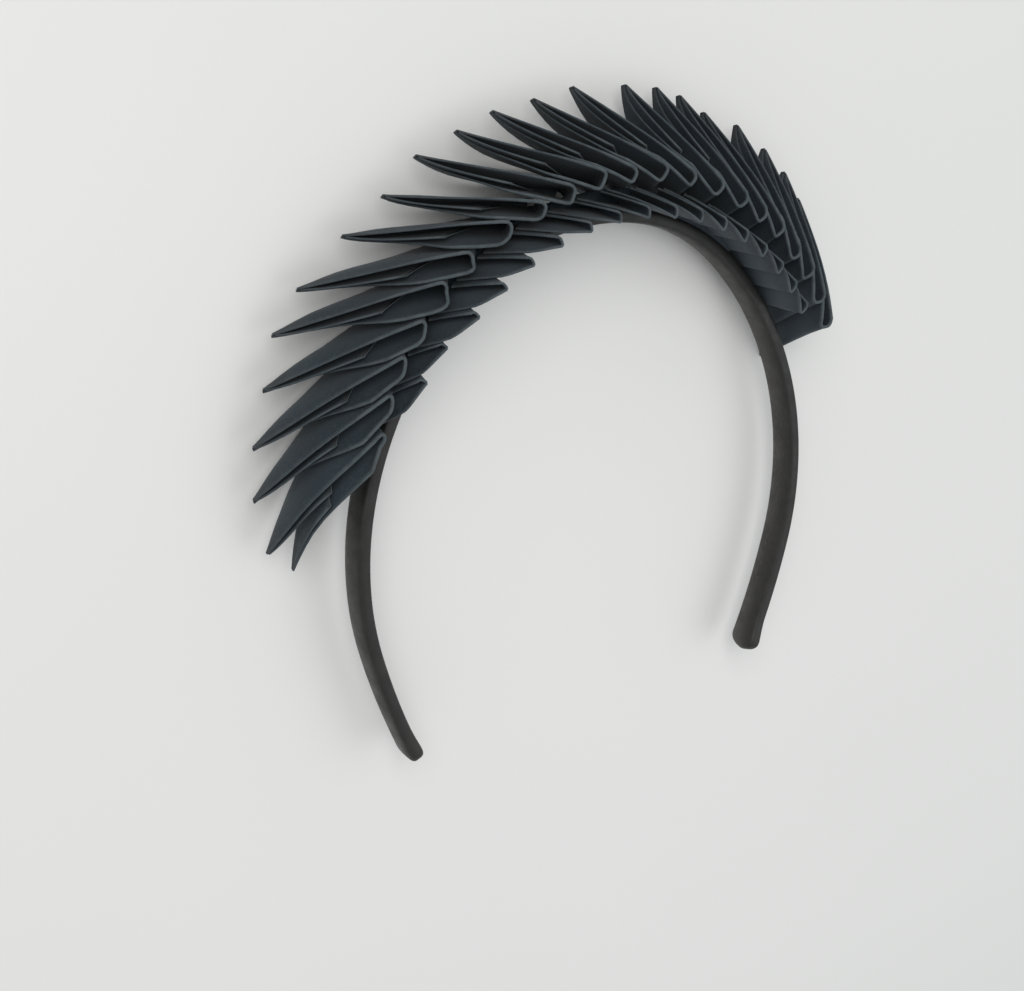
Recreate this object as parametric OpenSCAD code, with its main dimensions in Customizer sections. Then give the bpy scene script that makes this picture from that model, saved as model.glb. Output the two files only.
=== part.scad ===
// Origami headpiece: a stiff alice band that carries two overlapping rows of folded-paper units.
// Modelled as worn (x across the head, y to the front, z up, the middle of the head at the origin)
// and then laid on its front side, with the crown towards +y. All sizes are in millimetres.

/* [Headband] */
// Radius of the band's outer face over the top of the head
band_r = 62.3; // [61:0.5:64]
// Width of the band from its rear edge to its front edge
band_w = 8.4; // [7.6:0.2:9]
// Thickness of the band
band_t = 4.1; // [3.6:0.1:4.4]
// Distance of the band's middle in front of the outer units' noses
band_y = 13.5; // [12.5:0.1:14]
// Half angle of the band's top arc
band_top = 46; // [45:1:48]
// Radius of the arc beside the temple
band_side_r = 93; // [91:0.5:95]
// Angle of the arc beside the temple
band_side = 57.5; // [55:0.5:60]
// Radius of the arc behind the ear
band_ear_r = 200; // [160:10:240]
// Angle of the arc behind the ear
band_ear = 10; // [7:0.5:11]

/* [Rows of units] */
// Number of outer units
outer_count = 21; // [12:1:21]
// Number of inner units
inner_count = 17; // [8:1:17]
// Angle of the first outer unit's tips, from straight up
first_tip = -96.1; // [-100:0.1:-90]
// Mean angle from one unit to the next
pitch = 7.39; // [7:0.01:8]
// How much the units close up towards the far end
crowding = 0.056; // [0:0.002:0.06]

/* [Paper unit] */
// Radius at which a unit's two tips meet
tip_r = 91.2; // [86:0.2:94]
// How far the tips lie in front of the nose
tip_y = 17.3; // [14:0.1:20]
// Radius of the folded nose
nose_r = 72.1; // [71:0.1:74]
// Angle by which the nose leads its tips
nose_lead = 19.1; // [17:0.1:21]
// Radius of the fold's front end
front_r = 64; // [63.6:0.1:68]
// How far the fold's front end lies in front of the nose
front_y = 23.5; // [20:0.5:25]
// Angle by which the fold's front end leads the tips
front_lead = 28.5; // [26:0.5:31]
// Angle by which the paper bows backwards between the tips and the fold
lean_bow = 4.7; // [3:0.1:6]
// Thickness of the folded paper
sheet_t = 0.45; // [0.3:0.05:0.5]
// Depth of the rounded fold
fold_depth = 1.2; // [0.8:0.1:1.6]
// Half height of the rounded fold at the nose
fold_half = 2; // [1.4:0.1:2.2]

/* [Hidden] */
paper = [0.15, 0.17, 0.19];
plastic = [0.2, 0.19, 0.18];
$fn = 64;

// Opening of a unit's two wings, as shares of the pitch: way from tips to fold, share
open_up = [[0, 0.05], [0.26, 0.10], [0.5, 0.15], [0.75, 0.22], [1, 0.27]];
open_low = [[0, -0.05], [0.26, -0.14], [0.5, -0.30], [0.75, -0.52], [0.9, -0.55]];
// The first unit's lower wing stands off by itself
open_first = [[0, -1.02], [0.26, -0.88], [0.5, -0.78], [0.75, -0.69], [0.9, -0.62]];
// Extra opening of the upper wing half way between its rear rim and its front edge
leaf_hump = [[0, 0], [0.26, 0.22], [0.5, 0.20], [0.75, 0.10], [1, 0]];
wing_steps = [0, 0.26, 0.5, 0.75, 0.9];
// From this place on, the lower wing is an arm that runs back to the nose
arm_start = 0.9;
arm_steps = [0.95];
fold_steps = [-90, -40, 0, 40, 90];
fold_share = 0.27;
fold_corner = 0.7;
// The nose's lower corner by unit number: its height over the nose in mm, and how far it lags behind
// the upper corner, as a share of the pitch
low_corner_r = [[1, 0.4], [3, 0], [5, -1.5], [7, -2.2], [10, -1.3], [21, -1.2]];
low_corner_lag = [[1, 0.15], [2, 0.38], [4, 0.48], [7, 0.24], [21, 0.20]];
// The part of its rear opening that a wing keeps at the front edge, from tips to fold
front_open = [[0, 1], [0.26, 0.3], [0.5, 0.3], [0.75, 0.6], [1, 1]];
rows = [0, 0.5, 1];

// Unevenness of the hand-made row: unit, tip outwards in mm, tip's turn, nose outwards, nose's turn
uneven = [
    [1, 0, -0.7, -2.2, 2.9], [2, 1.9, -0.2, -1.8, 2.2], [3, 2.5, -0.6, -1.3, 1.3],
    [4, 2.5, -0.3, -1.4, 0.6], [5, 4.5, -0.6, 0, 0.2], [6, 3.4, -1.5, 0.2, -0.6],
    [7, 0.6, 0.4, -0.5, 1.0], [8, -0.8, 1.0, -1.2, 1.3], [9, 0.9, 0.9, -0.7, 0.6],
    [10, 0, 0.8, 0.7, 0.3], [12, -0.8, 0, 0.9, 0], [14, 0, 2.8, 0, 0.3],
    [15, 0.4, 1.9, 0, 0.5], [17, -1.6, -0.9, 0.7, -0.8], [19, 0, 1.1, 0.8, -0.6], [20, 0, 1.1, 0.8, 0],
    [21, -0.9, 0.8, 0.8, 0]];

// Places in the plane of radius and distance to the front. The tip is blunt and ends at tip_front
tip = [tip_r, tip_y];
tip_blunt = [-0.3, 0.9];
nose = [nose_r, 0];
front = [front_r, front_y];
// The lower wing's rear edge is a curve that leaves the tip inwards and ends above the next unit's nose
low_edge = [tip, [tip_r - 9, tip_y - 0.1], [nose_r + 4.9, 4.5], [nose_r + 2.3, -0.3]];
first_low_tip = [83.5, 14.1];
first_edge = [first_low_tip, [79.5, 9], [74, 3], nose];
rim_bow = 0.9;
// The pocket flap inside the trough: its rear corner and the end of its raw edge, with their shares
flap_corner = [77.9, 5.4];
flap_root = [73, 9.2];
flap_shares = [-0.02, -0.20, -0.42];
first_flap_shares = [-0.98, -0.48, -0.60];

// The inner row: nose, front end of the fold, and the line where the wings end between the outer ones
inner_first = 3;
inner_nose = [64.8, -5];
inner_front = [63.5, 17];
tuck_rear = [66.8, 7];
tuck_front = [64.7, 13.5];
inner_t = 0.35;
// Height of the inner nose's corners over its middle, in mm
inner_corners = [-2, 0.6];
// How far the first units' noses are pushed to the front, by unit number, in mm
inner_forward = [[3, 6], [4, 5], [5, 1], [6, 0], [21, 0]];
inner_depth = 0.6;
// Shares of the pitch: the fold's middle at the nose and its lead at the front end
inner_middle = -1.44;
inner_lead = 0.27;
// Share of the lower wing's end, tucked beside the next unit's upper wing, from the upper wing's share
inner_reach = -0.8;
// The lower wing's rear edge rises to the next nose before it runs on beside it
inner_edge = [inner_nose + [inner_corners[0], 0], [65, -5.2], [65.6, -4.6]];
inner_path = [[0, 0], [0.25, 0.6], [0.5, 1], [1, 1]];
inner_steps = [0, 0.25, 0.5, 1];

// The band's ends: ring places in mm from the end, thickening there and length of the thick stretch,
// which bulges to the rear
end_rings = [0, 0.3, 1, 2.2, 4, 7, 10];
end_round = 3.6;
end_swell = 0.16;
end_swell_length = 11;
band_rings = 44;
band_sides = 12;
band_corner = 0.55;

// Laid on its front side, with the middle of its outline over the origin and its lowest point at 0
rest_shift = [10.52, -7.82, 23.63];

function mix(a, b, t) = a + (b - a) * t;
function clamp01(t) = min(1, max(0, t));
function smooth(t) = t * t * (3 - 2 * t);
function tips_at(k) = first_tip + pitch * (k - 1) + crowding * (100 - (k - 11) * (k - 11));
function step_at(k) = tips_at(k) - tips_at(k - 1);
function bezier(p, t) = let (u = 1 - t) u * u * u * p[0] + 3 * u * u * t * p[1] + 3 * u * t * t * p[2]
    + t * t * t * p[3];

// Lead angle of a unit's middle surface: a plane over radius and front distance, less the bow
function bow(p) = let (u = (tip_r - p[0]) / (tip_r - front_r)) lean_bow * 4 * u * (1 - u);
nose_plane = nose_lead + bow(nose);
lean_det = (tip_r - nose_r) * (tip_y - front_y) - tip_y * (tip_r - front_r);
lean_r = (nose_plane * (tip_y - front_y) - tip_y * front_lead) / lean_det;
lean_y = ((tip_r - nose_r) * front_lead - nose_plane * (tip_r - front_r)) / lean_det;
function lean(p) = lean_r * (tip_r - p[0]) + lean_y * (tip_y - p[1]) - bow(p);
function to_space(p, ang) = [p[0] * sin(ang), p[1], p[0] * cos(ang)];

// One side of the band is three arcs, each taking up where the last one ends
side_centre = (band_r - band_side_r) * [sin(band_top), cos(band_top)];
ear_start = band_top + band_side;
ear_centre = side_centre + (band_side_r - band_ear_r) * [sin(ear_start), cos(ear_start)];
band_end = ear_start + band_ear;
function arc_at(centre, r, a) = centre + r * [sin(a), cos(a)];
function outer_line(a) = a < 0 ? let (p = outer_line(-a)) [-p[0], p[1]] :
    a <= band_top ? arc_at([0, 0], band_r, a) :
    a <= ear_start ? arc_at(side_centre, band_side_r, a) : arc_at(ear_centre, band_ear_r, a);
// Radius of the band's outer face at a turn from straight up, on the top arc or the one beside it
function band_reach(a) = a <= band_top ? band_r :
    let (c = side_centre * [sin(a), cos(a)]) c + sqrt(band_side_r * band_side_r - side_centre * side_centre + c * c);

// A place on unit k, with the row's unevenness. That of the noses belongs to the place along the row,
// so that neighbours follow each other, and fades to the front and to the band
function uneven_of(k) = let (found = [for (row = uneven) if (row[0] == k) row])
    len(found) > 0 ? found[0] : [k, 0, 0, 0, 0];
function nose_uneven(u, c) = let (i = floor(u + fold_share),
        f = smooth(clamp01((u - fold_share - i) / (1 - 2 * fold_share))))
    mix(uneven_of(max(1, i))[c], uneven_of(max(1, i + 1))[c], f);
function place(p, k, share) = let (row = uneven_of(k),
        w = clamp01((p[0] - nose_r) / (tip_r - nose_r)),
        rear = clamp01(1 - p[1] / front_y) * clamp01((p[0] - front_r) / (nose_r - front_r)),
        out = mix(nose_uneven(k + share, 3) * rear, row[1], w),
        turn = mix(nose_uneven(k + share, 4) * rear, row[2], w),
        ang = tips_at(k) + turn + lean(p) + step_at(k) * share,
        lift = (band_reach(abs(ang)) - band_r) * (1 - w) * smooth(clamp01(p[1] / (band_y - band_w / 2))))
    to_space([p[0] + out + lift, p[1]], ang);

// Plane place of a wing at s from tip to fold and v from rear rim to front edge
function high_corner(v) = mix(nose, front, v) + [fold_half * (1 - 0.4 * v), 0];
function low_corner(k, v) = mix(nose, front, v) + [lookup(k, low_corner_r) * (1 - 0.75 * v), 0];
function up_place(s, v) = let (rear = mix(tip, high_corner(0), s) - [0, rim_bow * 4 * s * (1 - s)])
    mix(rear, mix(tip + tip_blunt, high_corner(1), s), v);
function low_place(k, s, v) = let (edge = k == 1 ? first_edge : low_edge)
    s > arm_start ? mix(low_place(k, arm_start, v), low_corner(k, v), (s - arm_start) / (1 - arm_start)) :
    mix(bezier(edge, s), mix(edge[0] + tip_blunt, low_corner(k, 1), s), v);
function boxed(c) = sign(c) * pow(abs(c), fold_corner);
function fold_place(k, b, v) = mix(low_corner(k, v), high_corner(v), (1 + boxed(sin(b))) / 2)
    - [fold_depth * boxed(cos(b)), 0];
function low_corner_share(k, v) = fold_share - lookup(k, low_corner_lag) * (1 - 0.6 * v)
    - (lean(low_corner(k, v)) - lean(high_corner(v))) / step_at(k);
function fold_turn(k, b, v) = mix(low_corner_share(k, v), fold_share, (1 + boxed(sin(b))) / 2);
function front_share(s, v) = mix(1, lookup(s, front_open), v);
function up_share(s, v) = lookup(s, open_up) * front_share(s, v) + lookup(s, leaf_hump) * 4 * v * (1 - v);
function low_share(k, s, v) = s > arm_start ? mix(low_share(k, arm_start, v), low_corner_share(k, v),
        (s - arm_start) / (1 - arm_start)) :
    k == 1 ? lookup(s, open_first) : lookup(s, open_low) * front_share(s, v);

function outer_column(k, v) = [
    for (s = concat(wing_steps, arm_steps)) place(low_place(k, s, v), k, low_share(k, s, v)),
    for (b = fold_steps) place(fold_place(k, b, v), k, fold_turn(k, b, v)),
    for (i = [len(wing_steps) - 1:-1:0]) let (s = wing_steps[i]) place(up_place(s, v), k, up_share(s, v))];

// The pocket flap's grid runs from tip to corner along its lip and from tip to root along its front edge
function flap_column(k, start, shares, v) = [for (s = [0.06, 0.4, 0.75, 1])
    place(mix(start, mix(flap_corner, flap_root, v), s), k, mix(shares[0], mix(shares[1], shares[2], v), s))];

// An inner wing at t from the fold's end to its tucked end, on the upper or the lower side
function inner_shift(v) = inner_middle + inner_lead * clamp01(v * 1.5);
function inner_pushed(k) = [0, lookup(k, inner_forward)];
function inner_rim(k) = concat([for (p = inner_edge) p + inner_pushed(k)], [tuck_rear]);
function inner_corner(k, v, i) = mix(inner_nose + inner_pushed(k), inner_front, v)
    + [inner_corners[i] * (1 - 0.75 * v), 0];
function inner_drop(k, v) = (lean(inner_corner(k, v, 1)) - lean(inner_corner(k, v, 0))) / step_at(k);
function inner_wing(k, v, side, steps) = [for (t = steps) side > 0 ?
    place(mix(inner_corner(k, v, 1), mix(tuck_rear, tuck_front, v), t), k, inner_shift(v)) :
    place(mix(bezier(inner_rim(k), t), mix(inner_corner(k, 1, 0), tuck_front, t), v), k,
        inner_shift(v) + mix(inner_drop(k, v), inner_reach, lookup(t, inner_path)))];
function inner_fold(k, v) = [for (b = [-45, 0, 45]) let (up = (1 + boxed(sin(b))) / 2)
    place(mix(inner_corner(k, v, 0), inner_corner(k, v, 1), up) - [inner_depth * boxed(cos(b)), 0],
        k, inner_shift(v) + inner_drop(k, v) * (1 - up))];
function inner_column(k, v) = concat(inner_wing(k, v, -1, [for (i = [3:-1:0]) inner_steps[i]]),
    inner_fold(k, v), inner_wing(k, v, 1, inner_steps));

// A closed sheet of even thickness about a grid of points, given as rows of equal length
function unit_vec(a) = a / norm(a);
function at(g, i, j) = g[min(len(g) - 1, max(0, i))][min(len(g[0]) - 1, max(0, j))];
function normal(g, i, j) = unit_vec(cross(unit_vec(at(g, i + 1, j) - at(g, i - 1, j)),
    unit_vec(at(g, i, j + 1) - at(g, i, j - 1))));
module sheet(g, t) {
    n = len(g);
    m = len(g[0]);
    pts = [for (side = [-0.5, 0.5], i = [0:n - 1], j = [0:m - 1]) g[i][j] + side * t * normal(g, i, j)];
    top = n * m;
    faces = concat(
        [for (i = [0:n - 2], j = [0:m - 2]) each let (a = i * m + j)
            [[a, a + m + 1, a + 1], [a, a + m, a + m + 1]]],
        [for (i = [0:n - 2], j = [0:m - 2]) each let (a = top + i * m + j)
            [[a, a + 1, a + m + 1], [a, a + m + 1, a + m]]],
        [for (j = [0:m - 2]) each [[j, j + 1, j + top], [j + 1, j + top + 1, j + top]]],
        [for (j = [0:m - 2]) each let (a = (n - 1) * m + j)
            [[a, a + top, a + 1], [a + 1, a + top, a + top + 1]]],
        [for (i = [0:n - 2]) each let (a = i * m)
            [[a, a + top, a + m], [a + m, a + top, a + m + top]]],
        [for (i = [0:n - 2]) each let (a = i * m + m - 1)
            [[a, a + m, a + top], [a + m, a + m + top, a + top]]]);
    polyhedron(pts, faces);
}

module resting() {
    translate(rest_shift) rotate([-90, 0, 0]) children();
}

function from_end(a) = (band_end - abs(a)) * band_ear_r * PI / 180;
function end_scale(mm) = mm < end_round ? sqrt(max(0.04, 1 - pow(1 - mm / end_round, 2))) : 1;
function swell(mm) = 1 + end_swell * smooth(clamp01(1 - mm / end_swell_length));
function rounded(c) = sign(c) * pow(abs(c), band_corner);
// One ring of the band at the turn a from straight up, seen in the outward and the front direction
function band_ring(a) = let (p = outer_line(a), mm = from_end(a), out = [sin(a), 0, cos(a)],
        mid = [p[0], band_y, p[1]] - out * band_t / 2, w = end_scale(mm) * swell(mm))
    [for (i = [0:band_sides - 1]) let (c = 360 * (i + 0.5) / band_sides)
        mid + out * band_t / 2 * rounded(sin(c)) * mix(w, 1, 0.3)
            + [0, band_w / 2 * (rounded(cos(c)) * w + 1 - swell(mm)), 0]];
function end_turns() = [for (mm = end_rings) band_end - mm / band_ear_r * 180 / PI];
last_turn = end_turns()[len(end_rings) - 1];
band_turns = [for (a = end_turns()) -a, for (i = [1:band_rings - 1]) last_turn * (2 * i / band_rings - 1),
    for (i = [len(end_rings) - 1:-1:0]) end_turns()[i]];

module headband() color(plastic) resting() {
    n = len(band_turns);
    m = band_sides;
    polyhedron([for (a = band_turns) each band_ring(a)], concat(
        [for (i = [0:n - 2], j = [0:m - 1]) let (a = i * m, q = (j + 1) % m)
            [a + j, a + m + j, a + m + q, a + q]],
        [[for (j = [0:m - 1]) j], [for (j = [m - 1:-1:0]) (n - 1) * m + j]]));
}

module outer_unit(k) color(paper) resting() {
    sheet([for (v = rows) outer_column(k, v)], sheet_t);
    sheet([for (v = rows) flap_column(k, tip, flap_shares, v)], sheet_t);
    if (k == 1) sheet([for (v = rows) flap_column(k, first_low_tip, first_flap_shares, v)], sheet_t);
}

module inner_unit(k) color(paper) resting() {
    sheet([for (v = rows) inner_column(k, v)], inner_t);
}

headband();
for (k = [1:outer_count]) outer_unit(k);
for (k = [1:inner_count]) inner_unit(k + inner_first - 1);
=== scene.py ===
"""Origami headpiece: a headband that carries two overlapping rows of folded-paper units.

Shapes are worked out as worn, in millimetres (x across the head, y to the front, z up), and then laid on
their front side in the frame's own place. Each outer unit is one folded sheet with a rounded rim, a pocket
flap in its trough and a web that closes its front. Each inner unit is one folded sheet.
"""
import math

import bpy
from mathutils import Matrix, Vector


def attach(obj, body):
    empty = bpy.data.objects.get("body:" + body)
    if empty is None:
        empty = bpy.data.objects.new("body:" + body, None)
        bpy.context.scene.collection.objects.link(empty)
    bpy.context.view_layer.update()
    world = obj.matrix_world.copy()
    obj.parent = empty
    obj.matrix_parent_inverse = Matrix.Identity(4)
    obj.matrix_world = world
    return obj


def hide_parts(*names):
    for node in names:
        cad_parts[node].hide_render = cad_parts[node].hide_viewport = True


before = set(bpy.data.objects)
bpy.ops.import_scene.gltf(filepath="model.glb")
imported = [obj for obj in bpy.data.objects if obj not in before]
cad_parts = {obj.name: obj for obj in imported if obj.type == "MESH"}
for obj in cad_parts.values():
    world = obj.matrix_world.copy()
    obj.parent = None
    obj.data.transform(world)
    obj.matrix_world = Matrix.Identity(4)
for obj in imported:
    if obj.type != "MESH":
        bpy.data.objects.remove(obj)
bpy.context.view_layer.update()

MM = 0.001

# Rows of units, as in the frame
OUTER_COUNT = 21
INNER_COUNT = 17
INNER_FIRST = 3
FIRST_TIP = -96.1
PITCH = 7.39
CROWDING = 0.056
MIDDLE_UNIT = 11
HALF_ROW = 10
REST_SHIFT = Vector((10.52, -7.82, 23.63))

# Paper unit: places in the plane of radius and distance to the front
TIP = Vector((91.2, 17.3))
TIP_BLUNT = Vector((-0.3, 0.9))
NOSE = Vector((72.1, 0.0))
FRONT = Vector((64.0, 23.5))
NOSE_LEAD = 19.1
FRONT_LEAD = 28.5
LEAN_BOW = 4.7
FOLD_DEPTH = 1.2
FOLD_HALF = 2.0
FOLD_SHARE = 0.27
FOLD_CORNER = 0.7
# The nose's lower corner by unit number: its height over the nose in mm, and its lag as a share
LOW_CORNER_R = [(1, 0.4), (3, 0.0), (5, -1.5), (7, -2.2), (10, -1.3), (21, -1.2)]
LOW_CORNER_LAG = [(1, 0.15), (2, 0.38), (4, 0.48), (7, 0.24), (21, 0.20)]
LOW_NARROWING = 0.75
LAG_NARROWING = 0.6
FRONT_NARROWING = 0.4
RIM_BOW = 0.9
LOW_EDGE = [TIP, Vector((82.2, 17.2)), Vector((77.0, 4.5)), Vector((74.4, -0.3))]
FIRST_LOW_TIP = Vector((83.5, 14.1))
FIRST_EDGE = [FIRST_LOW_TIP, Vector((79.5, 9.0)), Vector((74.0, 3.0)), NOSE]

# Opening of a unit's two wings, as shares of the pitch: way from tips to fold, share
OPEN_UP = [(0, 0.022), (0.26, 0.10), (0.5, 0.15), (0.75, 0.22), (1, 0.27)]
OPEN_LOW = [(0, -0.022), (0.26, -0.14), (0.5, -0.30), (0.75, -0.52), (0.9, -0.55)]
OPEN_FIRST = [(0, -1.02), (0.26, -0.88), (0.5, -0.78), (0.75, -0.69), (0.9, -0.62)]
ARM_START = 0.9
LEAF_HUMP = [(0, 0), (0.26, 0.22), (0.5, 0.20), (0.75, 0.10), (1, 0)]
# The part of its rear opening that a wing keeps at the front edge
FRONT_OPEN = [
    (0, 0.8), (0.06, 0.25), (0.15, 0.1), (0.3, 0.04), (0.5, 0.02), (0.75, 0.03), (0.9, 0.05), (1, 0.4)]
# The share at which the two wings meet at the front, the last unit whose wings don't meet there, the first
# one whose wings fully do, and the part of its hump that such a wing keeps
FRONT_MEET = [(0, 0), (0.15, -0.04), (0.3, -0.13), (0.5, -0.22), (0.75, -0.22), (0.9, -0.18), (1, -0.1)]
MEET_FIRST = 5
MEET_FULL = 9
MEET_HUMP = 0.5
# The web that closes the front of a unit beside its fold, and how far behind the edges it lies
WEB_STEPS = [0.6, 0.75, 0.85, 0.89, 1]
WEB_BACK = 0.86

# Unevenness of the hand-made row, by unit: tip outwards in mm, tip's turn, nose outwards, nose's turn
UNEVEN = {
    1: (0, -0.7, -2.2, 2.9), 2: (1.9, -0.2, -1.8, 2.2), 3: (2.5, -0.6, -1.3, 1.3),
    4: (2.5, -0.3, -1.4, 0.6), 5: (4.5, -0.6, 0, 0.2), 6: (3.4, -1.5, 0.2, -0.6),
    7: (0.6, 0.4, -0.5, 1.0), 8: (-0.8, 1.0, -1.2, 1.3), 9: (0.9, 0.9, -0.7, 0.6),
    10: (0, 0.8, 0.7, 0.3), 12: (-0.8, 0, 0.9, 0), 14: (0, 2.8, 0, 0.3),
    15: (0.4, 1.9, 0, 0.5), 17: (-1.6, -0.9, 0.7, -0.8), 19: (0, 1.1, 0.8, -0.6),
    20: (0, 1.1, 0.8, 0), 21: (-0.9, 0.8, 0.8, 0)}

# The pocket flap: its rear corner, the end of its raw edge, and the shares at tip, corner and root
FLAP_CORNER = Vector((77.9, 5.4))
FLAP_ROOT = Vector((70.5, 14.0))
FLAP_SHARES = (0.0, -0.20, -0.24)
FIRST_FLAP_SHARES = (-0.98, -0.48, -0.60)
FLAP_START = 0.04
FLAP_STRIPS = 12

# The inner row: its fold, the ends of its tucked wings, and its shares of the pitch
INNER_NOSE = Vector((64.8, -5.0))
INNER_FRONT = Vector((63.5, 17.0))
TUCK_REAR = Vector((67.8, 5.4))
TUCK_FRONT = Vector((64.7, 13.5))
INNER_CORNERS = (-2.0, 0.6)
# How far the first units' noses are pushed to the front, by unit number, in mm
INNER_FORWARD = [(3, 6), (4, 5), (5, 1), (6, 0), (21, 0)]
INNER_NARROWING = 0.75
INNER_DEPTH = 0.6
INNER_MIDDLE = -1.44
INNER_LEAD = 0.27
INNER_LEAD_RATE = 1.5
INNER_REACH = -0.8
INNER_EDGE = [INNER_NOSE + Vector((-2.0, 0)), Vector((65.0, -5.2)), Vector((65.6, -4.6))]
INNER_PATH = [(0, 0), (0.25, 0.6), (0.5, 1), (1, 1)]

# Paper: half thickness of the sheet, of its rims, of a spike's end, of a flap and of a flap's raw edge
SHEET_HALF = 0.2
RIM_HALF = 0.42
WING_RIM_HALF = 0.25
TIP_HALF = 0.26
INNER_SHEET_HALF = 0.15
INNER_RIM_HALF = 0.3
FLAP_HALF = 0.16
LIP_HALF = 0.3
# How far a rim's thickness and its wear and painted highlight reach across the sheet, and the way from a
# rim over which the painted light on the faces and troughs rises to full, in mm
RIM_REACH = 0.8
PAINTED_LIGHT_REACH = 9.0
# Ways from tip to fold over which the spike's end, the fold's rim, its wear and painted highlight and the
# tip's tone fade
SPIKE_FADE = 0.2
FOLD_RIM = (0.6, 0.4)
FOLD_WEAR_AND_HIGHLIGHT = (0.55, 0.4)
TIP_FADE = 0.35
WING_WEAR_AND_HIGHLIGHT = 0.55

# Stations along and across a sheet, closer together at its rims
WING_STEPS = [0, 0.03, 0.08, 0.15, 0.24, 0.34, 0.45, 0.56, 0.67, 0.76, 0.83, 0.87, 0.89]
ARM_STEPS = [0.91, 0.93, 0.95, 0.97, 0.985]
FOLD_STEPS = [-90, -65, -40, -20, 0, 20, 40, 65, 90]
INNER_FOLD_STEPS = [-60, -30, 0, 30, 60]
INNER_STEPS = [0, 0.05, 0.12, 0.2, 0.28, 0.38, 0.5, 0.7, 0.88, 1]
ACROSS = [0, 0.012, 0.028, 0.05, 0.09, 0.16, 0.3, 0.5, 0.72, 0.9, 1]
CAP_TURNS = [15, 45, 75]

# Headband: its arcs, as turn and radius, its section and its rounded ends, a little fuller than the strip
BAND_R = 62.3
BAND_W = 8.4
BAND_T = 4.1
BAND_Y = 13.5
BAND_ARCS = [(46, 62.3), (57.5, 93.0), (10, 200.0)]
BAND_CORNER = 0.55
BAND_SIDES = 32
BAND_RINGS = 170
END_ROUND = 3.6
END_SWELL = 0.16
END_SWELL_LENGTH = 11.0
END_SMALLEST = 0.04
END_KEPT = 0.3
# Where the band's worn edge, its painted shade on the rear side and the tone of its ends begin, and over
# how much they fade in
EDGE_WEAR = (1.25, 0.4)
REAR_SHADE = (0.35, 0.9)
END_TONE = 30.0
END_RINGS = [0, 0.08, 0.3, 0.7, 1.2, 1.8, 2.6, 3.6, 5, 7, 10]

# The bed under the folds: half of its turn and its outline in radius and distance to the front
BED_TURN = 42.0
BED_RINGS = 48
BED_SECTION = [(62.0, 9.7), (66.4, 9.9), (67.0, 10.4), (64.9, 16.6), (64.3, 17.2), (62.0, 17.3)]

# Camera, as worn: place in mm, turn about the upright axis, drop below level and roll
CAMERA_PLACE = Vector((-231.7, -315.0, 148.3))
CAMERA_TURN = 32.31
CAMERA_DROP = 22.06
CAMERA_ROLL = -0.58
LENS = 57.6
SENSOR = 36.0
CLIP_START = 0.01

# Stage, in metres: the floor's half size, and each light's name, place, size, power and colour
FLOOR_HALF = 3.0
LIGHTS = [
    ("key", (-0.5, 0.62, 0.95), 0.9, 7.5, (1.0, 0.985, 0.965)),
    ("fill", (0.6, -0.2, 0.9), 0.9, 2.2, (0.95, 0.975, 1.0))]
WORLD_COLOR = (0.97, 0.985, 1.0, 1)
WORLD_STRENGTH = 0.58


def mix(a, b, t):
    return a + (b - a) * t


def clamp01(t):
    return min(1.0, max(0.0, t))


def smooth(t):
    t = clamp01(t)
    return t * t * (3 - 2 * t)


def lookup(t, table):
    """Straight-line value of a table of (place, value) rows."""
    for (t0, a), (t1, b) in zip(table, table[1:]):
        if t <= t1:
            return mix(a, b, clamp01((t - t0) / (t1 - t0)))
    return table[-1][1]


def soft_lookup(t, table, width=0.09):
    """The table's value, rounded off at its corners."""
    return (lookup(t - width, table) + 2 * lookup(t, table) + lookup(t + width, table)) / 4 \
        if width < t < 1 - width else lookup(t, table)


def bezier(p, t):
    u = 1 - t
    return p[0] * u ** 3 + p[1] * (3 * u * u * t) + p[2] * (3 * u * t * t) + p[3] * t ** 3


def laid(p):
    """From the frame as worn, in mm, to the row's frame, in metres."""
    return (Vector((p[0], p[2], -p[1])) + REST_SHIFT) * MM


def tips_at(k):
    """Turn of unit k's spike; the pitch narrows along the row."""
    return FIRST_TIP + PITCH * (k - 1) + CROWDING * (HALF_ROW ** 2 - (k - MIDDLE_UNIT) ** 2)


def step_at(k):
    return tips_at(k) - tips_at(k - 1)


def bow(p):
    u = (TIP[0] - p[0]) / (TIP[0] - FRONT[0])
    return LEAN_BOW * 4 * u * (1 - u)


NOSE_PLANE = NOSE_LEAD + bow(NOSE)
LEAN_DET = (TIP[0] - NOSE[0]) * (TIP[1] - FRONT[1]) - TIP[1] * (TIP[0] - FRONT[0])
LEAN_R = (NOSE_PLANE * (TIP[1] - FRONT[1]) - TIP[1] * FRONT_LEAD) / LEAN_DET
LEAN_Y = ((TIP[0] - NOSE[0]) * FRONT_LEAD - NOSE_PLANE * (TIP[0] - FRONT[0])) / LEAN_DET


def lean(p):
    """Lead angle of a unit's middle surface over radius and front distance."""
    return LEAN_R * (TIP[0] - p[0]) + LEAN_Y * (TIP[1] - p[1]) - bow(p)


def band_reach(a):
    """Radius of the band's outer face at a turn from straight up, on its top arc or the one beside it."""
    top, side_r = BAND_ARCS[0][0], BAND_ARCS[1][1]
    if a <= top:
        return BAND_R
    off = BAND_R - side_r
    c = off * math.cos(math.radians(a - top))
    return c + math.sqrt(side_r ** 2 - off ** 2 + c * c)


def nose_uneven(u):
    """Unevenness of the noses at a place along the row: outwards in mm, and turn."""
    i = math.floor(u + FOLD_SHARE)
    f = smooth((u - FOLD_SHARE - i) / (1 - 2 * FOLD_SHARE))
    a, b = UNEVEN.get(max(1, i), (0, 0, 0, 0)), UNEVEN.get(max(1, i + 1), (0, 0, 0, 0))
    return mix(a[2], b[2], f), mix(a[3], b[3], f)


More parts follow.
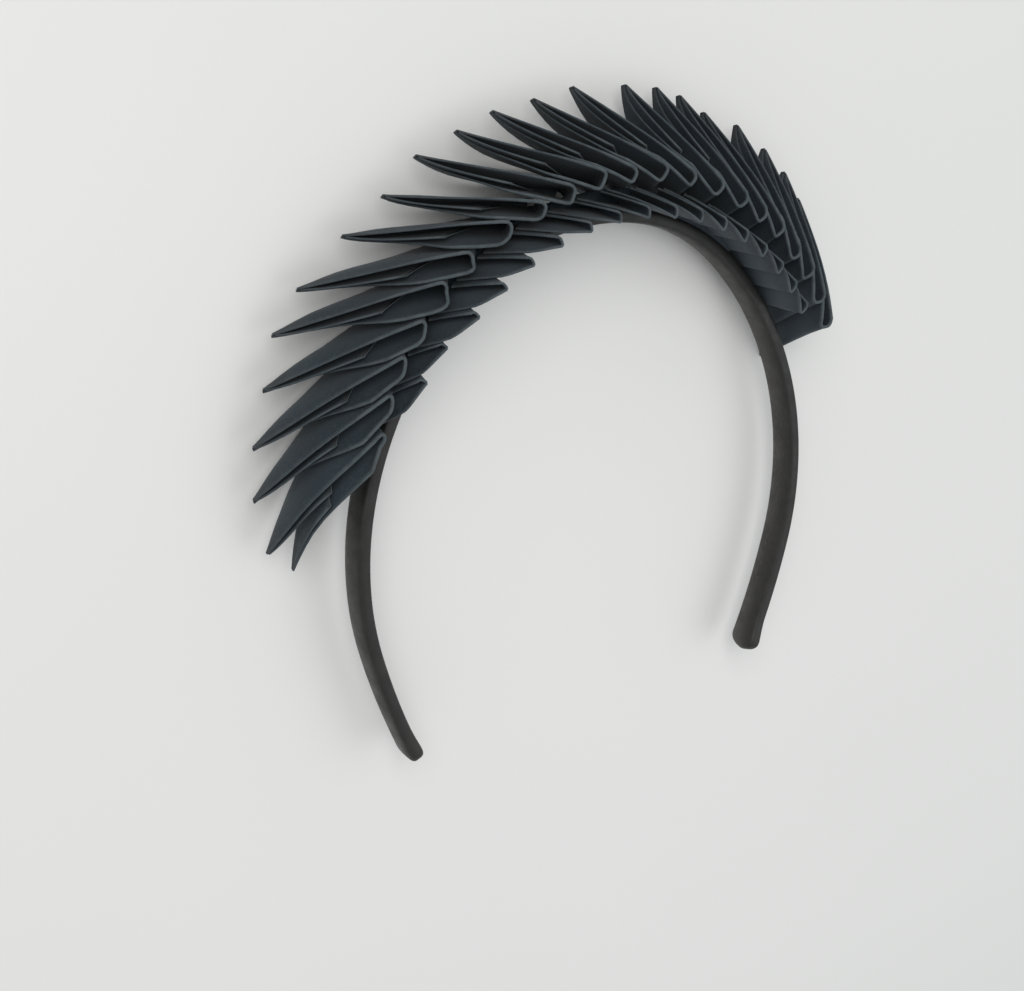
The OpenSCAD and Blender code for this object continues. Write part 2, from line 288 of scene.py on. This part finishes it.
def place(p, k, share):
    """A place on unit k, with the row's unevenness and lifted off the band beside the temples."""
    tip_out, tip_turn = UNEVEN.get(k, (0, 0, 0, 0))[:2]
    nose_out, nose_turn = nose_uneven(k + share)
    w = clamp01((p[0] - NOSE[0]) / (TIP[0] - NOSE[0]))
    rear = clamp01(1 - p[1] / FRONT[1]) * clamp01((p[0] - FRONT[0]) / (NOSE[0] - FRONT[0]))
    turn = tips_at(k) + mix(nose_turn * rear, tip_turn, w) + lean(p) + step_at(k) * share
    lift = (band_reach(abs(turn)) - BAND_R) * (1 - w) * smooth(p[1] / (BAND_Y - BAND_W / 2))
    rho = p[0] + mix(nose_out * rear, tip_out, w) + lift
    ang = math.radians(turn)
    return Vector((rho * math.sin(ang), p[1], rho * math.cos(ang)))


def high_corner(v):
    return mix(NOSE, FRONT, v) + Vector((FOLD_HALF * (1 - FRONT_NARROWING * v), 0))


def low_corner(k, v):
    return mix(NOSE, FRONT, v) + Vector((lookup(k, LOW_CORNER_R) * (1 - LOW_NARROWING * v), 0))


def low_corner_share(k, v):
    lead = (lean(low_corner(k, v)) - lean(high_corner(v))) / step_at(k)
    return FOLD_SHARE - lookup(k, LOW_CORNER_LAG) * (1 - LAG_NARROWING * v) - lead


def up_place(s, v):
    rear = mix(TIP, high_corner(0), s) - Vector((0, RIM_BOW * 4 * s * (1 - s)))
    return mix(rear, mix(TIP + TIP_BLUNT, high_corner(1), s), v)


def low_place(k, s, v):
    """The lower wing, then the arm that runs back to the nose."""
    if s > ARM_START:
        return mix(low_place(k, ARM_START, v), low_corner(k, v), (s - ARM_START) / (1 - ARM_START))
    edge = FIRST_EDGE if k == 1 else LOW_EDGE
    return mix(bezier(edge, s), mix(edge[0] + TIP_BLUNT, low_corner(k, 1), s), v)


def low_share(k, s, v):
    if s > ARM_START:
        return mix(low_share(k, ARM_START, v), low_corner_share(k, v), (s - ARM_START) / (1 - ARM_START))
    if k == 1:
        return soft_lookup(s, OPEN_FIRST)
    return soft_lookup(s, OPEN_LOW) * front_share(s, v) + front_meet(k, s) * v


def boxed(c):
    return math.copysign(abs(c) ** FOLD_CORNER, c)


def fold_place(k, turn, v):
    up, deep = boxed(math.sin(math.radians(turn))), boxed(math.cos(math.radians(turn)))
    p = mix(low_corner(k, v), high_corner(v), (1 + up) / 2) - Vector((FOLD_DEPTH * deep, 0))
    return place(p, k, mix(low_corner_share(k, v), FOLD_SHARE, (1 + up) / 2))


def front_share(s, v):
    return mix(1, soft_lookup(s, FRONT_OPEN), v)


def meeting(k):
    return smooth((k - MEET_FIRST) / (MEET_FULL - MEET_FIRST))


def front_meet(k, s):
    return meeting(k) * soft_lookup(s, FRONT_MEET)


def up_share(k, s, v):
    hump = soft_lookup(s, LEAF_HUMP) * mix(1, MEET_HUMP, meeting(k))
    return soft_lookup(s, OPEN_UP) * front_share(s, v) + front_meet(k, s) * v + hump * 4 * v * (1 - v)


def outer_rows(k):
    """The folded sheet's middle surface, from the lower wing's tip round the fold to the upper one's."""
    rows = []
    for s in WING_STEPS + ARM_STEPS:
        rows.append(([place(low_place(k, s, v), k, low_share(k, s, v)) for v in ACROSS], s))
    for turn in FOLD_STEPS:
        rows.append(([fold_place(k, turn, v) for v in ACROSS], 1))
    for s in reversed(WING_STEPS):
        rows.append(([place(up_place(s, v), k, up_share(k, s, v)) for v in ACROSS], s))
    return rows


def web_rows(k):
    """The web between a unit's two wings, along the front from the spike to the fold."""
    rows = []
    for s in WEB_STEPS:
        if s == 1:
            low, up = fold_place(k, -90, WEB_BACK), fold_place(k, 90, WEB_BACK)
        else:
            low = place(low_place(k, s, WEB_BACK), k, low_share(k, s, WEB_BACK))
            up = place(up_place(s, WEB_BACK), k, up_share(k, s, WEB_BACK))
        rows.append(([mix(low, up, v) for v in ACROSS], s))
    return rows


def flap_rows(k, start, shares):
    """The pocket flap, from the spike's end to its raw edge inside the trough."""
    rows = []
    for i in range(FLAP_STRIPS + 1):
        s = mix(FLAP_START, 1, i / FLAP_STRIPS)
        row = []
        for v in ACROSS:
            p = mix(start, mix(FLAP_CORNER, FLAP_ROOT, v), s)
            row.append(place(p, k, mix(shares[0], mix(shares[1], shares[2], v), s)))
        rows.append((row, s))
    return rows


def inner_shift(v):
    return INNER_MIDDLE + INNER_LEAD * clamp01(v * INNER_LEAD_RATE)


def inner_pushed(k):
    return Vector((0, lookup(k, INNER_FORWARD)))


def inner_rim(k):
    return [p + inner_pushed(k) for p in INNER_EDGE] + [TUCK_REAR]


def inner_corner(k, v, i):
    corner = Vector((INNER_CORNERS[i] * (1 - INNER_NARROWING * v), 0))
    return mix(INNER_NOSE + inner_pushed(k), INNER_FRONT, v) + corner


def inner_drop(k, v):
    return (lean(inner_corner(k, v, 1)) - lean(inner_corner(k, v, 0))) / step_at(k)


def inner_place(k, t, v, side):
    """A place on an inner unit's upper or lower wing, at t from the fold's end to the tucked end."""
    if side > 0:
        return place(mix(inner_corner(k, v, 1), mix(TUCK_REAR, TUCK_FRONT, v), t), k, inner_shift(v))
    p = mix(bezier(inner_rim(k), t), mix(inner_corner(k, 1, 0), TUCK_FRONT, t), v)
    return place(p, k, inner_shift(v) + mix(inner_drop(k, v), INNER_REACH, soft_lookup(t, INNER_PATH)))


def inner_fold_place(k, turn, v):
    up, deep = (1 + boxed(math.sin(math.radians(turn)))) / 2, boxed(math.cos(math.radians(turn)))
    p = mix(inner_corner(k, v, 0), inner_corner(k, v, 1), up) - Vector((INNER_DEPTH * deep, 0))
    return place(p, k, inner_shift(v) + inner_drop(k, v) * (1 - up))


def inner_rows(k):
    """The inner unit's sheet: lower wing from its tucked end, rounded fold, upper wing."""
    rows = [([inner_place(k, t, v, -1) for v in ACROSS], 1 - t) for t in reversed(INNER_STEPS)]
    rows += [([inner_fold_place(k, turn, v) for v in ACROSS], 1) for turn in INNER_FOLD_STEPS]
    rows += [([inner_place(k, t, v, 1) for v in ACROSS], 1 - t) for t in INNER_STEPS]
    return rows


def unit_normal(rows, i, j):
    last_i, last_j = len(rows) - 1, len(rows[0][0]) - 1
    along = rows[min(last_i, i + 1)][0][j] - rows[max(0, i - 1)][0][j]
    across = rows[i][0][min(last_j, j + 1)] - rows[i][0][max(0, j - 1)]
    return along.normalized().cross(across.normalized()).normalized()


def sheet_mesh(rows, sheet_half, rim_half, tip_half, raw_end=False):
    """A closed sheet with rounded rims, as verts, faces and their edge, tip and painted-light values."""
    verts, faces, edge, tip, deep = [], [], [], [], []
    count = 2 * (2 * len(CAP_TURNS) + len(ACROSS))
    for i, (row, s) in enumerate(rows):
        wing = mix(tip_half, min(rim_half, WING_RIM_HALF), smooth(s / SPIKE_FADE))
        rim = mix(wing, rim_half, smooth((s - FOLD_RIM[0]) / FOLD_RIM[1]))
        normals = [unit_normal(rows, i, j) for j in range(len(row))]
        gaps = [(p - row[0]).length for p in row]
        halves = [sheet_half + max(0, rim - sheet_half) * math.exp(-(g / RIM_REACH) ** 2) for g in gaps]
        rear = (row[0] - row[1]).normalized()
        front = (row[-1] - row[-2]).normalized()
        ring = []
        for turn in CAP_TURNS:
            a = math.radians(turn)
            start = row[0] + rear * halves[0] * math.cos(a)
            ring.append((start, normals[0] * halves[0] * math.sin(a), 0))
        for p, n, h, g in zip(row, normals, halves, gaps):
            ring.append((p, n * h, g))
        for turn in reversed(CAP_TURNS):
            a = math.radians(turn)
            h = halves[-1]
            end = row[-1] - front * h * (1 - math.cos(a))
            ring.append((end, normals[-1] * h * math.sin(a), gaps[-1]))
        raw = 1.0 if raw_end and i == len(rows) - 1 else 0.0
        # Rim strength for real fold wear together with a painted highlight where the folded edge catches
        # light
        wear = mix(WING_WEAR_AND_HIGHLIGHT, 1, smooth((s - FOLD_WEAR_AND_HIGHLIGHT[0]) / FOLD_WEAR_AND_HIGHLIGHT[1]))
        for middle, offset, gap in ring:
            verts.append(middle + offset)
            edge.append(max(math.exp(-(gap / RIM_REACH) ** 2) * wear, raw))
            tip.append(1 - smooth(s / TIP_FADE))
            # deep values: painted light, lifting the tone with the distance from the rim to stand in for
            # light filling the troughs
            deep.append(smooth(gap / PAINTED_LIGHT_REACH))
        for middle, offset, gap in reversed(ring):
            verts.append(middle - offset)
            edge.append(max(math.exp(-(gap / RIM_REACH) ** 2) * wear, raw))
            tip.append(1 - smooth(s / TIP_FADE))
            deep.append(smooth(gap / PAINTED_LIGHT_REACH))
    for i in range(len(rows) - 1):
        for q in range(count):
            a, b = i * count + q, i * count + (q + 1) % count
            faces.append((a, b, b + count, a + count))
    for base, flip in ((0, False), ((len(rows) - 1) * count, True)):
        for q in range(count // 2 - 1):
            quad = (base + q, base + q + 1, base + count - 2 - q, base + count - 1 - q)
            faces.append(quad if not flip else quad[::-1])
    return verts, faces, edge, tip, deep


def make_object(name, parts, material, node):
    """One mesh object from several closed shells, riding on the root; it takes a named node's place."""
    verts, faces, edge, tip, deep = [], [], [], [], []
    for part in parts:
        base = len(verts)
        verts += [laid(p) for p in part[0]]
        faces += [[base + q for q in face] for face in part[1]]
        edge += part[2]
        tip += part[3]
        deep += part[4]
    mesh = bpy.data.meshes.new(name)
    mesh.from_pydata(verts, [], faces)
    # The deep values are painted light on the paper and painted shade on the band
    for label, values in (("edge", edge), ("tip", tip), ("deep", deep)):
        layer = mesh.attributes.new(label, "FLOAT", "POINT")
        layer.data.foreach_set("value", values)
    mesh.polygons.foreach_set("use_smooth", [True] * len(mesh.polygons))
    mesh.materials.append(material)
    mesh.validate()
    mesh.update()
    piece = bpy.data.objects.new(name, mesh)
    bpy.context.scene.collection.objects.link(piece)
    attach(piece, "root")
    if node:
        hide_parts(node)
    return piece


def outer_unit(k, material):
    parts = [sheet_mesh(outer_rows(k), SHEET_HALF, RIM_HALF, TIP_HALF),
             sheet_mesh(flap_rows(k, TIP, FLAP_SHARES), FLAP_HALF, LIP_HALF, TIP_HALF, True),
             sheet_mesh(web_rows(k), FLAP_HALF, FLAP_HALF, FLAP_HALF)]
    if k == 1:
        parts.append(sheet_mesh(flap_rows(k, FIRST_LOW_TIP, FIRST_FLAP_SHARES), FLAP_HALF, LIP_HALF,
                                TIP_HALF, True))
    make_object("folded_unit_%d" % k, parts, material, "outer_unit_%d" % k)


def inner_unit(k, material):
    rows = inner_rows(k + INNER_FIRST - 1)
    parts = [sheet_mesh(rows, INNER_SHEET_HALF, INNER_RIM_HALF, INNER_RIM_HALF)]
    make_object("folded_inner_unit_%d" % k, parts, material, "inner_unit_%d" % k)


BAND_END = sum(turn for turn, r in BAND_ARCS)


def outer_line(a):
    """The headband's outer line at a turn from straight up, along arcs that follow on one another."""
    side = -1 if a < 0 else 1
    a = abs(a)
    centre, start = Vector((0, 0)), 0
    for i, (turn, r) in enumerate(BAND_ARCS):
        if a <= start + turn or i == len(BAND_ARCS) - 1:
            break
        start += turn
        t = math.radians(start)
        centre += (r - BAND_ARCS[i + 1][1]) * Vector((math.sin(t), math.cos(t)))
    t = math.radians(a)
    p = centre + r * Vector((math.sin(t), math.cos(t)))
    return side * p[0], p[1]


def rounded(c):
    return math.copysign(abs(c) ** BAND_CORNER, c)


def band_mesh():
    """The headband: rings of a rounded strip from end to end, with the same values as a sheet has."""
    end_r = BAND_ARCS[-1][1]
    ends = [BAND_END - math.degrees(mm / end_r) for mm in END_RINGS]
    turns = [-a for a in ends] + [ends[-1] * (2 * i / BAND_RINGS - 1) for i in range(1, BAND_RINGS)]
    turns += ends[::-1]
    verts, faces, edge, tip, rear = [], [], [], [], []
    for a in turns:
        x, z = outer_line(a)
        mm = math.radians(BAND_END - abs(a)) * end_r
        out = Vector((math.sin(math.radians(a)), 0, math.cos(math.radians(a))))
        middle = Vector((x, BAND_Y, z)) - out * BAND_T / 2
        w = math.sqrt(max(END_SMALLEST, 1 - (1 - mm / END_ROUND) ** 2)) if mm < END_ROUND else 1
        swell = END_SWELL * smooth(1 - mm / END_SWELL_LENGTH)
        w *= 1 + swell
        for i in range(BAND_SIDES):
            c = 2 * math.pi * (i + 0.5) / BAND_SIDES
            up, across = rounded(math.sin(c)), rounded(math.cos(c))
            verts.append(middle + out * BAND_T / 2 * up * mix(w, 1, END_KEPT)
                         + Vector((0, BAND_W / 2 * (across * w - swell), 0)))
            edge.append(clamp01((abs(up) + abs(across) - EDGE_WEAR[0]) / EDGE_WEAR[1]))
            tip.append(1 - smooth(mm / END_TONE))
            # Painted shade on the band's rear side, carried in the values a sheet uses for painted light
            rear.append(smooth((REAR_SHADE[0] - across) / REAR_SHADE[1]))
    n = len(turns)
    for i in range(n - 1):
        for j in range(BAND_SIDES):
            a, q = i * BAND_SIDES + j, i * BAND_SIDES + (j + 1) % BAND_SIDES
            faces.append((a, a + BAND_SIDES, q + BAND_SIDES, q))
    faces.append(tuple(range(BAND_SIDES)))
    faces.append(tuple((n - 1) * BAND_SIDES + j for j in reversed(range(BAND_SIDES))))
    return verts, faces, edge, tip, rear


def bed_mesh():
    """The bed of glue and paper between the band's outer face and the folds that stand on it."""
    verts, faces = [], []
    for i in range(BED_RINGS + 1):
        a = math.radians(mix(-BED_TURN, BED_TURN, i / BED_RINGS))
        for rho, y in BED_SECTION:
            verts.append(Vector((rho * math.sin(a), y, rho * math.cos(a))))
    n = len(BED_SECTION)
    for i in range(BED_RINGS):
        for j in range(n):
            a, q = i * n + j, i * n + (j + 1) % n
            faces.append((a, q, q + n, a + n))
    faces.append(tuple(reversed(range(n))))
    faces.append(tuple(BED_RINGS * n + j for j in range(n)))
    plain = [0.0] * len(verts)
    return verts, faces, plain, plain, plain


class Nodes:
    """Shorthand for a material's node tree."""

    def __init__(self, name):
        self.material = bpy.data.materials.new(name)
        self.material.use_nodes = True
        self.tree = self.material.node_tree
        self.shader = self.tree.nodes["Principled BSDF"]

    def add(self, kind, **values):
        node = self.tree.nodes.new(kind)
        for key, value in values.items():
            setattr(node, key, value)
        return node

    def link(self, a, b):
        self.tree.links.new(a, b)

    def attribute(self, label):
        return self.add("ShaderNodeAttribute", attribute_name=label).outputs["Fac"]

    def noise(self, scale, detail=2.0, stretch=None):
        coord = self.add("ShaderNodeTexCoord").outputs["Object"]
        if stretch:
            mapping = self.add("ShaderNodeMapping")
            mapping.inputs["Scale"].default_value = stretch
            self.link(coord, mapping.inputs["Vector"])
            coord = mapping.outputs["Vector"]
        node = self.add("ShaderNodeTexNoise")
        node.inputs["Scale"].default_value = scale
        node.inputs["Detail"].default_value = detail
        self.link(coord, node.inputs["Vector"])
        return node.outputs["Fac"]

    def spread(self, value, low, high, out_low=0.0, out_high=1.0):
        node = self.add("ShaderNodeMapRange")
        for key, v in (("From Min", low), ("From Max", high), ("To Min", out_low), ("To Max", out_high)):
            node.inputs[key].default_value = v
        self.link(value, node.inputs["Value"])
        return node.outputs["Result"]

    def blend(self, factor, a, b):
        node = self.add("ShaderNodeMix", data_type="RGBA")
        self.link(factor, node.inputs[0])
        for value, socket in ((a, node.inputs[6]), (b, node.inputs[7])):
            if isinstance(value, tuple):
                socket.default_value = (*value, 1)
            else:
                self.link(value, socket)
        return node.outputs[2]

    def product(self, a, b):
        node = self.add("ShaderNodeMath", operation="MULTIPLY")
        self.link(a, node.inputs[0])
        self.link(b, node.inputs[1])
        return node.outputs[0]

    def bump(self, height, strength, distance, normal=None):
        node = self.add("ShaderNodeBump")
        node.inputs["Strength"].default_value = strength
        node.inputs["Distance"].default_value = distance
        self.link(height, node.inputs["Height"])
        if normal:
            self.link(normal, node.inputs["Normal"])
        return node.outputs["Normal"]


def paper_material():
    m = Nodes("slate_paper")
    body = (0.0175, 0.0262, 0.0338)
    cool = (0.0230, 0.0340, 0.0430)
    # inner: painted light, a lighter tone for faces away from the rims that stands in for light filling
    # the troughs
    inner = (0.0500, 0.0660, 0.0790)
    worn = (0.074, 0.090, 0.097)
    warm = (0.0400, 0.0395, 0.0390)
    fluff = (0.056, 0.070, 0.080)
    color = m.blend(m.spread(m.noise(90.0, 3.0), 0.35, 0.65), body, cool)
    # Painted light: lifts the troughs and broad faces away from the rims
    color = m.blend(m.spread(m.attribute("deep"), 0.0, 0.9, 0.0, 0.95), color, inner)
    color = m.blend(m.spread(m.noise(3200.0, 2.0), 0.52, 0.75, 0.0, 0.6), color, fluff)
    color = m.blend(m.spread(m.noise(1300.0, 3.0), 0.48, 0.72, 0.0, 0.35), color, fluff)
    color = m.blend(m.spread(m.attribute("tip"), 0.0, 1.0, 0.0, 0.55), color, warm)
    # Lighter rims: partly real fold wear, partly a painted highlight
    wear = m.product(m.spread(m.attribute("edge"), 0.25, 1.0, 0.0, 0.85),
                     m.spread(m.noise(420.0, 4.0), 0.3, 0.6, 0.4, 1.0))
    color = m.blend(wear, color, worn)
    m.link(color, m.shader.inputs["Base Color"])
    m.link(m.spread(m.noise(260.0, 4.0), 0.3, 0.7, 0.62, 0.78), m.shader.inputs["Roughness"])
    m.shader.inputs["Specular IOR Level"].default_value = 0.24
    m.shader.inputs["Sheen Weight"].default_value = 0.05
    m.shader.inputs["Sheen Roughness"].default_value = 0.5
    grain = m.bump(m.noise(2600.0, 3.0), 0.5, 0.00008)
    fibre = m.bump(m.noise(700.0, 4.0, (1.0, 3.0, 1.0)), 0.3, 0.00012, grain)
    m.link(fibre, m.shader.inputs["Normal"])
    return m.material


def band_material():
    m = Nodes("satin_plastic")
    body = (0.0240, 0.0228, 0.0208)
    light = (0.0450, 0.0430, 0.0400)
    worn = (0.088, 0.083, 0.076)
    # Painted shade colour for the band's rear side
    painted_shade = (0.0060, 0.0057, 0.0052)
    color = m.blend(m.spread(m.noise(140.0, 4.0), 0.35, 0.7), body, light)
    color = m.blend(m.spread(m.noise(1800.0, 3.0, (1.0, 0.35, 1.0)), 0.5, 0.75, 0.0, 0.5), color, worn)
    wear = m.product(m.attribute("edge"), m.spread(m.noise(300.0, 5.0), 0.45, 0.62, 0.1, 0.6))
    color = m.blend(wear, color, worn)
    color = m.blend(m.spread(m.attribute("tip"), 0.7, 1.0, 0.0, 0.35), color, worn)
    # Painted shade darkening the band's rear side
    color = m.blend(m.spread(m.attribute("deep"), 0.0, 1.0, 0.0, 0.8), color, painted_shade)
    m.link(color, m.shader.inputs["Base Color"])
    m.link(m.spread(m.noise(220.0, 4.0), 0.3, 0.7, 0.42, 0.6), m.shader.inputs["Roughness"])
    m.shader.inputs["Specular IOR Level"].default_value = 0.4
    m.link(m.bump(m.noise(1500.0, 3.0), 0.3, 0.00008), m.shader.inputs["Normal"])
    return m.material


def floor_material():
    m = Nodes("pale_floor")
    dull = (0.735, 0.74, 0.725)
    pale = (0.765, 0.765, 0.75)
    color = m.blend(m.spread(m.noise(3.0, 3.0), 0.3, 0.7), dull, pale)
    m.link(color, m.shader.inputs["Base Color"])
    m.shader.inputs["Roughness"].default_value = 0.9
    m.shader.inputs["Specular IOR Level"].default_value = 0.1
    return m.material


def laid_direction(p):
    """A direction as worn, turned into the row's frame."""
    return Vector((p[0], p[2], -p[1]))


def make_camera():
    turn, drop, roll = (math.radians(a) for a in (CAMERA_TURN, CAMERA_DROP, CAMERA_ROLL))
    forward = Vector((math.sin(turn) * math.cos(drop), math.cos(turn) * math.cos(drop), -math.sin(drop)))
    level = Vector((math.cos(turn), -math.sin(turn), 0))
    upright = level.cross(forward)
    right = level * math.cos(roll) + upright * math.sin(roll)
    up = upright * math.cos(roll) - level * math.sin(roll)
    axes = [laid_direction(right), laid_direction(up), -laid_direction(forward)]
    data = bpy.data.cameras.new("camera")
    data.lens = LENS
    data.sensor_width = SENSOR
    data.sensor_fit = "HORIZONTAL"
    data.clip_start = CLIP_START
    camera = bpy.data.objects.new("camera", data)
    matrix = Matrix(axes).transposed().to_4x4()
    matrix.translation = laid(CAMERA_PLACE)
    camera.matrix_world = matrix
    bpy.context.scene.collection.objects.link(camera)
    bpy.context.scene.camera = camera


def area_light(name, where, size, power, color):
    data = bpy.data.lights.new(name, "AREA")
    data.shape = "DISK"
    data.size = size
    data.energy = power
    data.color = color
    light = bpy.data.objects.new(name, data)
    light.location = where
    light.rotation_euler = (-Vector(where)).to_track_quat("-Z", "Y").to_euler()
    bpy.context.scene.collection.objects.link(light)


def make_stage():
    mesh = bpy.data.meshes.new("floor")
    r = FLOOR_HALF
    mesh.from_pydata([(-r, -r, 0), (r, -r, 0), (r, r, 0), (-r, r, 0)], [], [(0, 1, 2, 3)])
    mesh.materials.append(floor_material())
    floor = bpy.data.objects.new("floor", mesh)
    bpy.context.scene.collection.objects.link(floor)
    for name, where, size, power, color in LIGHTS:
        area_light(name, where, size, power, color)
    world = bpy.data.worlds.new("soft")
    world.use_nodes = True
    background = world.node_tree.nodes["Background"]
    background.inputs["Color"].default_value = WORLD_COLOR
    background.inputs["Strength"].default_value = WORLD_STRENGTH
    bpy.context.scene.world = world
    bpy.context.scene.view_settings.view_transform = "Standard"


make_camera()
make_stage()
paper = paper_material()
for number in range(1, OUTER_COUNT + 1):
    outer_unit(number, paper)
for number in range(1, INNER_COUNT + 1):
    inner_unit(number, paper)
make_object("band_strip", [band_mesh()], band_material(), "headband")
make_object("glue_bed", [bed_mesh()], paper, None)
